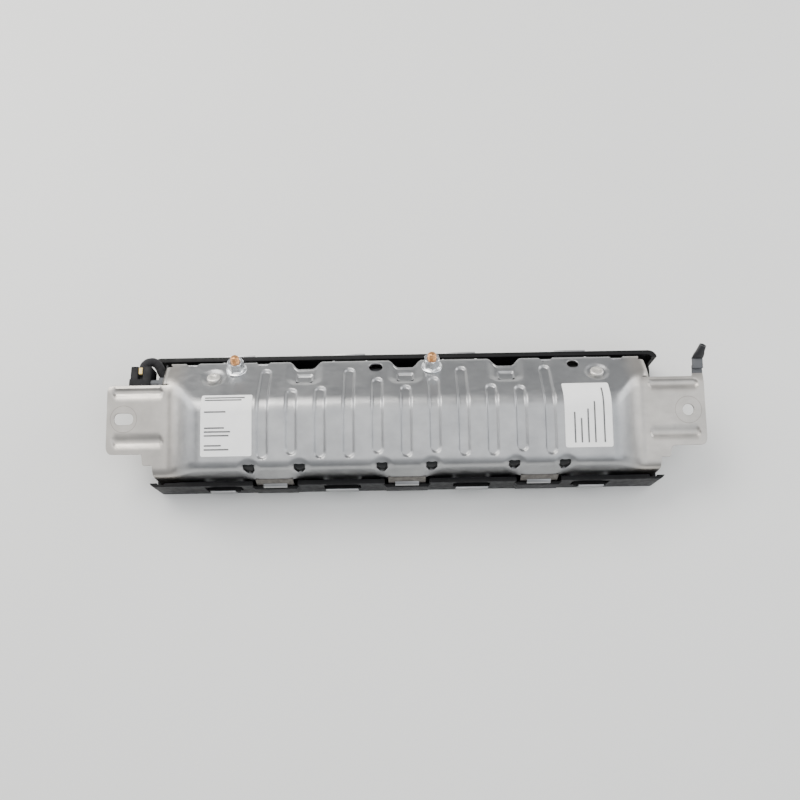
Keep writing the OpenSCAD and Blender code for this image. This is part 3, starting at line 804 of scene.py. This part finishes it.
def close_to(points, rim, cell):
    """Which points lie in the same square cell as a rim point, or in a neighbouring one."""
    taken = set()
    for p in rim:
        cx, cy = int(p[0] // cell), int(p[1] // cell)
        for i in (-1, 0, 1):
            for j in (-1, 0, 1):
                taken.add((cx + i, cy + j))
    return np.array([(int(p[0] // cell), int(p[1] // cell)) in taken for p in points])


def inside(points, loop):
    """Even-odd test of many points against one loop."""
    poly = np.array(loop)
    x, y = points[:, 0], points[:, 1]
    result = np.zeros(len(points), bool)
    box = (x >= poly[:, 0].min()) & (x <= poly[:, 0].max()) & (y >= poly[:, 1].min()) & (y <= poly[:, 1].max())
    px, py = x[box], y[box]
    hit = np.zeros(len(px), bool)
    for (x0, y0), (x1, y1) in zip(poly, np.roll(poly, -1, axis=0)):
        if y0 == y1:
            continue
        cross = ((y0 > py) != (y1 > py)) & (px < (x1 - x0) * (py - y0) / (y1 - y0) + x0)
        hit ^= cross
    result[box] = hit
    return result


def thickened(name, outer, tri, thickness):
    """A closed sheet from its outer surface, with its rim slightly rounded."""
    a, b, c = outer[tri[:, 0]], outer[tri[:, 1]], outer[tri[:, 2]]
    face_n = np.cross(b - a, c - a)
    vert_n = np.zeros_like(outer)
    for k in range(3):
        np.add.at(vert_n, tri[:, k], face_n)
    vert_n /= np.maximum(np.linalg.norm(vert_n, axis=1), 1e-12)[:, None]
    directed = dict.fromkeys((t[k], t[(k + 1) % 3]) for t in tri for k in range(3))
    border = [(i, j) for i, j in directed if (j, i) not in directed]
    # the rim's corner is cut back by a small bevel on both faces
    cut = 0.22
    rim_verts = sorted({i for e in border for i in e})
    outward = {i: np.zeros(3) for i in rim_verts}
    for i, j in border:
        along = outer[j] - outer[i]
        for k in (i, j):
            outward[k] = outward[k] + np.cross(along, vert_n[k]) / max(np.linalg.norm(along), 1e-9)
    count = len(outer)
    upper, lower = {}, {}
    extra = []
    moved_top, moved_low = outer.copy(), outer - vert_n * thickness
    for i in rim_verts:
        o = outward[i] / max(np.linalg.norm(outward[i]), 1e-9)
        upper[i] = 2 * count + len(extra)
        extra.append(outer[i] - vert_n[i] * cut)
        lower[i] = 2 * count + len(extra)
        extra.append(outer[i] - vert_n[i] * (thickness - cut))
        moved_top[i] = outer[i] - o * cut
        moved_low[i] = outer[i] - vert_n[i] * thickness - o * cut
    verts = np.vstack([moved_top, moved_low, np.array(extra)])
    faces = [tuple(t) for t in tri] + [(t[0] + count, t[2] + count, t[1] + count) for t in tri]
    for i, j in border:
        faces.append((j, i, upper[i], upper[j]))
        faces.append((upper[j], upper[i], lower[i], lower[j]))
        faces.append((lower[j], lower[i], i + count, j + count))
    return mesh_from(name, verts, faces, 40)


def strip_mesh(name, path, x0, x1, thickness, bend=0.8):
    """A bent steel strip: its middle line path in the YZ plane, from x0 to x1."""
    line = [path[0]]
    for a, b, c in zip(path, path[1:], path[2:]):
        line += arc_corner(a, b, c, bend, 5)
    line.append(path[-1])
    line = np.array(line, float)
    step = np.gradient(line, axis=0)
    side = np.stack([-step[:, 1], step[:, 0]], axis=1)
    side /= np.linalg.norm(side, axis=1)[:, None]
    loop = np.vstack([line + side * thickness / 2, (line - side * thickness / 2)[::-1]])
    n = len(loop)
    verts = [(x, y, z) for x in (x0, x1) for y, z in loop]
    faces = [(k, (k + 1) % n, n + (k + 1) % n, n + k) for k in range(n)]
    faces += [tuple(range(n))[::-1], tuple(range(n, 2 * n))]
    mesh = mesh_from(name, verts, faces)
    face_outward(mesh)
    bevelled(mesh, 0.2, 2, 50)
    return mesh


housing = new_piece("housing_sheet", housing_mesh(), STEEL)
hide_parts("housing")


def strip(name, line, x, half, thickness, mat, bend=0.8):
    """A strip centred on x, half wide on each side, as a piece."""
    new_piece(name, strip_mesh(name, line, x - half, x + half, thickness, bend), mat)


def hook_line(side, wall_y):
    """Middle line of a hook: down the wall, out under the cover's rim and up again."""
    under, prong_y = PAN_BOTTOM + 0.7, HOOK_Y - 0.6
    return [(side * wall_y, 15.0), (side * wall_y, under), (side * prong_y, under), (side * prong_y, 20.2)]


def hook_rib(x, side):
    """Black rib of the cover that fills the hook between its prong and the wall."""
    low, high = sorted((side * 43.2, side * (HOOK_Y - 1.3)))
    verts = [(a, b, c) for a in (x - HOOK_HALF, x + HOOK_HALF) for b in (low, high) for c in (13.5, 15.2)]
    faces = [(0, 1, 3, 2), (4, 6, 7, 5), (0, 4, 5, 1), (2, 3, 7, 6), (0, 2, 6, 4), (1, 5, 7, 3)]
    mesh = mesh_from("hook_rib", verts, faces)
    bevelled(mesh, 0.3)
    new_piece("hook_rib", mesh, COVER)


for x in NEAR_TAB_XS:
    # the edge tabs take the darker steel, painted shade on their near faces
    strip("edge_tab", [(-42.4, 31.0), (-43.2, 28.4), (-44.5, 24.0), (-44.8, 15.5)], x, 12.5, 1.3, SHADED_TAB_STEEL)
    strip("edge_lip", [(-44.6, 25.6), (-46.2, 24.4), (-46.9, 23.0)], x, 8.0, 0.6, STEEL, 0.5)
for x in NEAR_HOOK_XS:
    strip("near_hook", hook_line(-1, 41.0), x, OUTER_HOOK_HALF if abs(x) > 100 else HOOK_HALF, 1.0, STEEL)
for x in FAR_HOOK_XS:
    strip("far_hook", hook_line(1, 39.0), x, HOOK_HALF, 1.2, STEEL)
for x in NEAR_HOOK_XS:
    hook_rib(x, -1)
for x in FAR_HOOK_XS:
    hook_rib(x, 1)

# ---- pieces that follow the CAD meshes, with rounded edges ----

CAD_MATERIALS = {
    "inflator_tube": TUBE, "diffuser_cap": TUBE, "initiator": BRASS, "igniter_plug": PLUG,
    "clamp_left": CLAMP, "clamp_right": CLAMP, "stud_left": COPPER, "stud_right": COPPER,
    "nut_left": ZINC, "nut_right": ZINC, "heat_deflector": CLAMP, "cushion": CUSHION, "cushion_wrap": SHADED_WRAP,
    "cover_frame": COVER, "near_door": COVER, "far_door": COVER, "label_left": PAPER, "label_right": PAPER,
    "rivet_left": RIVET, "rivet_right": RIVET, "window_plugs": PLUG, "ignition_lead": TAPE,
    "lead_grommet": RUBBER, "connector_body": CONNECTOR, "connector_lock": LOCK,
    "connector_bracket": CLIP_GREY, "clip_base": CLIP_GREY, "clip_barrel": CLIP_BLACK, "housing": STEEL,
}
for name, mat in CAD_MATERIALS.items():
    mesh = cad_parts[name].data
    mesh.materials.clear()
    mesh.materials.append(mat)


def shown(cad_name, mesh, mat, body="module"):
    """A piece shown in place of a CAD node."""
    piece = new_piece(cad_name + "_shown", mesh, mat, body)
    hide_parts(cad_name)
    return piece


def rounded_copy(cad_name, width, body, slot, segments=2):
    """A copy of a CAD node with its sharp edges rounded."""
    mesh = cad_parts[cad_name].data.copy()
    mesh.materials.clear()
    bevelled(mesh, width, segments)
    shown(cad_name, mesh, CAD_MATERIALS[cad_name], body)


for settings in (("cover_frame", 0.55, "module", "cover_plastic", 3), ("near_door", 0.5, "near_flap", "cover_plastic"),
                 ("far_door", 0.5, "far_flap", "cover_plastic"), ("connector_body", 0.7, "module", "connector_plastic"),
                 ("connector_lock", 0.35, "lock_slide", "lock_plastic"),
                 ("connector_bracket", 0.3, "module", "clip_grey"),
                 ("lead_grommet", 0.35, "module", "grommet_rubber"), ("clip_base", 0.4, "module", "clip_grey")):
    rounded_copy(*settings)

# ---- turned pieces: studs, nuts and rivets ----


def ring_mesh(name, rings, angle):
    """A closed solid from rings of equal length, each a list of (x, y, z) in millimetres."""
    return mesh_from(name, [p for ring in rings for p in ring], ring_faces(len(rings), len(rings[0])), angle)


def lathe(cad_name, rings, x, s, mat, angle=35):
    """A turned piece on the upper facet at (x, s), shown in place of a CAD node."""
    mesh = ring_mesh(cad_name, rings, angle)
    mesh.transform(UPPER_MATRIX @ Matrix.Translation(Vector((x, s, 0)) * MM))
    shown(cad_name, mesh, mat)


def circle_ring(r, z, n=64):
    return [(r * math.cos(a), r * math.sin(a), z) for a in angles(n)]


def thread_rings(r, z0, z1, pitch, depth, n=64):
    """Rings of a helical thread."""
    rings = []
    for i in range(int((z1 - z0) / THREAD_STEP) + 1):
        z = z0 + i * THREAD_STEP
        ring = []
        for k, a in enumerate(angles(n)):
            radius = r - depth * abs(2 * ((z / pitch - k / n) % 1) - 1)
            ring.append((radius * math.cos(a), radius * math.sin(a), z))
        rings.append(ring)
    return rings


def make_stud(x, name):
    """A stud with a rolled thread and a rounded point."""
    rings = [circle_ring(2.9, -2.4)] + thread_rings(2.98, -2.3, 10.9, 1.0, 0.42)
    rings += [circle_ring(r, z) for r, z in ((2.45, 11.1), (2.3, 11.5), (1.95, 11.85), (1.3, 12.1), (0.5, 12.19))]
    lathe(name, rings, x, STUD_S, COPPER, 50)


def hex_radius(angle):
    """Distance from a nut's axis to its sharp hexagon in one direction."""
    sixth = math.pi / 3
    return HEX_FLAT / 2 / math.cos((angle % sixth) - sixth / 2)


def make_nut(x, name, turn):
    """Flange nut: round flange with a soft edge, a cove, and a chamfered hexagon."""
    profile = [(3.4, 0.02, 0), (6.95, 0.02, 0), (7.1, 0.25, 0), (7.1, 0.75, 0), (6.9, 1.05, 0), (6.3, 1.3, 0),
               (5.9, 1.75, 0.5), (5.7, 2.3, 1), (5.7, 6.9, 1), (5.55, 7.35, 1), (5.3, 7.75, 1), (5.0, 7.98, 1),
               (3.75, 8.0, 0), (3.05, 7.5, 0)]
    rings = []
    for radius, z, hexness in profile:
        ring = []
        for a in angles(96):
            six = min(hex_radius(a), HEX_CORNER)
            r = min(radius, six) if hexness == 1 else radius * (1 - hexness) + min(radius, six + 0.35) * hexness
            ring.append((r * math.cos(a + turn), r * math.sin(a + turn), z))
        rings.append(ring)
    lathe(name, rings, x, STUD_S, ZINC, 28)


def make_rivet(x, name):
    """A low round head with a shallow hollow."""
    profile = [(3.0, -1.3), (4.35, -1.25), (4.45, -0.9), (4.4, 0.1), (4.1, 0.45), (3.4, 0.65), (2.3, 0.75),
               (2.0, 0.7), (1.6, 0.5), (0.6, 0.42)]
    lathe(name, [circle_ring(r, z, 56) for r, z in profile], x, DIMPLE_S, RIVET, 40)


for side, x in zip(("left", "right"), STUD_XS):
    make_stud(x, "stud_" + side)
    make_nut(x, "nut_" + side, math.radians(8 if side == "left" else 36))
for side, x in zip(("left", "right"), DIMPLE_XS):
    make_rivet(x, "rivet_" + side)

# ---- labels: they follow the sheet over the kink ----


def conforming_mesh(name, outline, lift, thickness, cell=1.1):
    """A thin plate that follows the formed sheet over an outline in blank coordinates."""
    loop = resampled(outline)
    rim = np.array(loop)
    edges = [(k, (k + 1) % len(loop)) for k in range(len(loop))]
    inner = grid(*(np.arange(rim[:, k].min(), rim[:, k].max(), cell) for k in (0, 1)))
    inner = inner[inside(inner, loop)]
    if len(inner):
        inner = inner[~close_to(inner, rim, 0.4)]
    blank, tri = triangulated(rim, edges, inner)
    tri = tri[inside(blank[tri].mean(axis=1), loop)]
    x, s = blank[:, 0], blank[:, 1]
    outer = formed(x, s) + normals_of(x, s) * lift
    return thickened(name, outer, tri, thickness)


def box_outline(x0, x1, s0, s1, r):
    return rounded_outline([(x0, s0, r), (x1, s0, r), (x1, s1, r), (x0, s1, r)])


LABELS = {"left": (-133.7, -100.5, -35.0, 7.0), "right": (103.1, 133.8, -33.0, 13.0)}
for side, (x0, x1, s0, s1) in LABELS.items():
    mesh = conforming_mesh("label_" + side, box_outline(x0, x1, s0, s1, 1.4), 0.16, 0.12)
    shown("label_" + side, mesh, PAPER)
# plain bars in place of the printing: rows (height, width) at the left, columns (x, low, high) at the right
ROWS = ((4.6, 26), (2.6, 24), (-6.0, 14), (-16.5, 13), (-19.0, 17), (-21.5, 16), (-28.0, 11), (-30.6, 16))
COLUMNS = ((109.5, -30, -10), (113.8, -30, -14), (118.2, -30, -8), (122.6, -30, -3), (128.6, -30, 8))
BARS = [(-131.4, -131.4 + width, row - 0.45, row + 0.45) for row, width in ROWS]
BARS += [(col - 0.45, col + 0.45, low, high) for col, low, high in COLUMNS]
for bar in BARS:
    mesh = conforming_mesh("label_bar", box_outline(*bar, 0.2), 0.19, 0.05)
    new_piece("label_bar", mesh, INK)

# ---- lead, clip and window plugs ----

LEAD_ROUTE = [
    (-150, 22.2, 27.1), (-152, 22.2, 27.1), (-154.4, 23.2, 27.3), (-157, 25.2, 27.9), (-160.6, 27.5, 28.4),
    (-163.6, 29, 28.5), (-166.6, 31.2, 28.6), (-168.8, 34.6, 29.1), (-170.6, 38.2, 30), (-173.6, 40.8, 31.2),
    (-177.2, 40.4, 32.4), (-179.6, 38, 33.2), (-180, 36.4, 33.4), (-180, 35, 33.4)]


def spline(points, per=8):
    """Points of a smooth curve through the given ones."""
    pts = [Vector(p) for p in points]
    pts = [pts[0] * 2 - pts[1]] + pts + [pts[-1] * 2 - pts[-2]]
    out = []
    for p0, p1, p2, p3 in zip(pts, pts[1:], pts[2:], pts[3:]):
        for k in range(per):
            t = k / per
            out.append(0.5 * (2 * p1 + (p2 - p0) * t + (2 * p0 - 5 * p1 + 4 * p2 - p3) * t * t
                              + (3 * p1 - 3 * p2 + p3 - p0) * t ** 3))
    out.append(pts[-2])
    return out


def tube_mesh(name, path, radius_at, n=32):
    """A tube along a path; radius_at gives the radius at a distance along it and an angle round it."""
    rings, along = [], 0.0
    side = None
    for i, p in enumerate(path):
        tangent = (path[min(i + 1, len(path) - 1)] - path[max(i - 1, 0)]).normalized()
        side = tangent.orthogonal().normalized() if side is None else (side - tangent * side.dot(tangent)).normalized()
        up = tangent.cross(side)
        if i:
            along += (p - path[i - 1]).length
        ring = []
        for a in angles(n):
            r = radius_at(along, a)
            ring.append(p + (side * math.cos(a) + up * math.sin(a)) * r)
        rings.append(ring)
    return ring_mesh(name, rings, 45)


def taped_radius(along, angle):
    """Overlapping turns of tape: each turn starts with a small step."""
    turn = (along / 4.2 - angle / (2 * math.pi)) % 1
    return 3.0 + 0.17 * (1 - turn) ** 0.5 - 0.12 * math.exp(-((turn - 0.03) / 0.04) ** 2)


shown("ignition_lead", tube_mesh("lead", spline(LEAD_ROUTE, 12), taped_radius), TAPE)

bm = bmesh.new()
for x in WINDOW_XS:
    bm.from_mesh(conforming_mesh("window_plug", heart_outline(x, 0.12), -1.5, 0.8))
plugs = bpy.data.meshes.new("window_plugs")
bm.to_mesh(plugs)
bm.free()
shade(plugs)
shown("window_plugs", plugs, PLUG)


def make_clip():
    """Edge clip: a wedge on the grey strip that narrows to a slanted barrel with a bore in its end."""
    base = Vector((196.0, 25.6, -14.9))
    tip = Vector((198.3, 33.9, -8.3))
    axis = Vector((0.26, 0.77, 0.59)).normalized()
    n = 48
    rings = []
    stages = ((0.0, 3.6, 1.7), (0.15, 3.7, 2.0), (0.35, 3.4, 2.2), (0.6, 2.7, 2.3), (0.85, 2.4, 2.35),
              (1.0, 2.25, 2.25))
    for t, half_x, half_w in stages:
        centre = base.lerp(tip, t)
        out = Vector((0, 1, 0)).lerp(axis, t).normalized()
        side = (Vector((1, 0, 0)) - out * out.x).normalized()
        up = side.cross(out)
        ring = []
        power = 0.5 + 0.5 * t
        for a in angles(n):
            cx = math.copysign(abs(math.cos(a)) ** power, math.cos(a))
            cy = math.copysign(abs(math.sin(a)) ** power, math.sin(a))
            ring.append(centre + side * half_x * cx + up * half_w * cy)
        rings.append(ring)
    side = (Vector((1, 0, 0)) - axis * axis.x).normalized()
    up = side.cross(axis)
    for r, deep in ((1.5, 0.0), (1.3, 0.3), (1.3, 5.0)):
        rings.append([tip - axis * deep + (side * math.cos(a) + up * math.sin(a)) * r for a in angles(n)])
    mesh = ring_mesh("clip", rings, 40)
    mesh.transform(MAIN_MATRIX)
    shown("clip_barrel", mesh, CLIP_BLACK)


make_clip()

# ---- folded cushion and its wrap ----


def lengths_along(line):
    """Distance along a line at each of its points."""
    return np.concatenate([[0], np.cumsum(np.linalg.norm(np.diff(line, axis=0), axis=1))])


def section_points(corners, n=150):
    """n points evenly along a rounded closed section."""
    loop = np.array(rounded_outline(corners))
    closed = np.vstack([loop, loop[:1]])
    d = lengths_along(closed)
    at = np.linspace(0, d[-1], n, endpoint=False)
    return np.stack([np.interp(at, d, closed[:, 0]), np.interp(at, d, closed[:, 1])], axis=1)


def pleat(y, x):
    """Folds that run along the module, a little uneven."""
    return 0.5 + 0.5 * math.cos(2 * math.pi * (y + 1.1 * math.sin(x / 41.0)) / 9.2)


def cushion_mesh():
    low, mid = 4.9, 11.2
    slim = section_points([(-36.9, low, 3), (34.4, low, 3), (34.4, mid, 2.5), (2.6, mid, 1), (0.6, 43.4, 4),
                           (-12, 47.2, 6), (-32.6, 43.2, 6), (-36.7, 37, 5)])
    full = section_points([(-36.9, low, 3), (34.4, low, 3), (33.0, 31.4, 4), (2.6, 49, 8), (-12, 47.2, 6),
                           (-32.6, 43.2, 6), (-36.7, 37, 5), (-36.8, 21, 5)])
    ends = section_points([(-36.9, low, 3), (1.6, low, 3), (1.6, 34, 4), (-20, 33, 5), (-36.8, 29, 5), (-36.8, 20, 5),
                           (-36.8, 14, 5), (-36.8, 9, 3)])
    xs = np.concatenate([np.linspace(-153.2, -148, 9), np.linspace(-146, 146, 147), np.linspace(148, 153.2, 9)])
    rings = []
    for x in xs:
        to_end = float(smooth(131.0, 136.0, abs(x)))
        body = slim + (full - slim) * float(smooth(56.6, 61.0, x))
        ring = body + (ends - body) * to_end
        round_off = math.sqrt(max(0.0, 1 - (max(0.0, abs(x) - 147.6) / 5.8) ** 2))
        centre = ring.mean(axis=0)
        ring = centre + (ring - centre) * (0.35 + 0.65 * round_off)
        out = []
        for y, z in ring:
            under = 1 - float(smooth(low + 0.5, low + 3.5, z))
            lift = 1.5 * (1 - pleat(y, x)) * under
            dent = 0.5 * math.sin(x / 7.3 + y / 5.1) * (1 - under)
            out.append((float(x), float(y) - 0.2 * dent, float(z) + lift - abs(dent) * 0.4))
        rings.append(out)
    mesh = ring_mesh("cushion", rings, 60)
    face_outward(mesh)
    return mesh


cushion = shown("cushion", cushion_mesh(), CUSHION)


def wrap_mesh():
    """Thin fabric under the cushion, turned up along both long edges."""
    corner = rounded_outline([(-38.3, 15.6, 0), (-38.3, 3.7, 1.6), (35.5, 3.7, 1.6), (35.5, 8.7, 0)], False)
    line = np.array(corner)
    d = lengths_along(line)
    at = np.linspace(0, d[-1], 120)
    ys, zs = np.interp(at, d, line[:, 0]), np.interp(at, d, line[:, 1])
    xs = np.linspace(-149.6, 149.6, 150)
    outer = []
    for x in xs:
        for y, z in zip(ys, zs):
            flat = 1 - float(smooth(3.9, 5.0, z))
            outer.append((x, y, z + flat * 0.45 * (1 - pleat(y, x))))
    n = len(ys)
    tri = []
    for i in range(len(xs) - 1):
        for k in range(n - 1):
            a, b = i * n + k, (i + 1) * n + k
            tri += [(a, a + 1, b), (b, a + 1, b + 1)]
    return thickened("wrap", np.array(outer), np.array(tri), 0.3), d[-1] * MM, (xs[-1] - xs[0]) * MM


wrap_data, wrap_width, wrap_length = wrap_mesh()
wrap = shown("cushion_wrap", wrap_data, SHADED_WRAP)
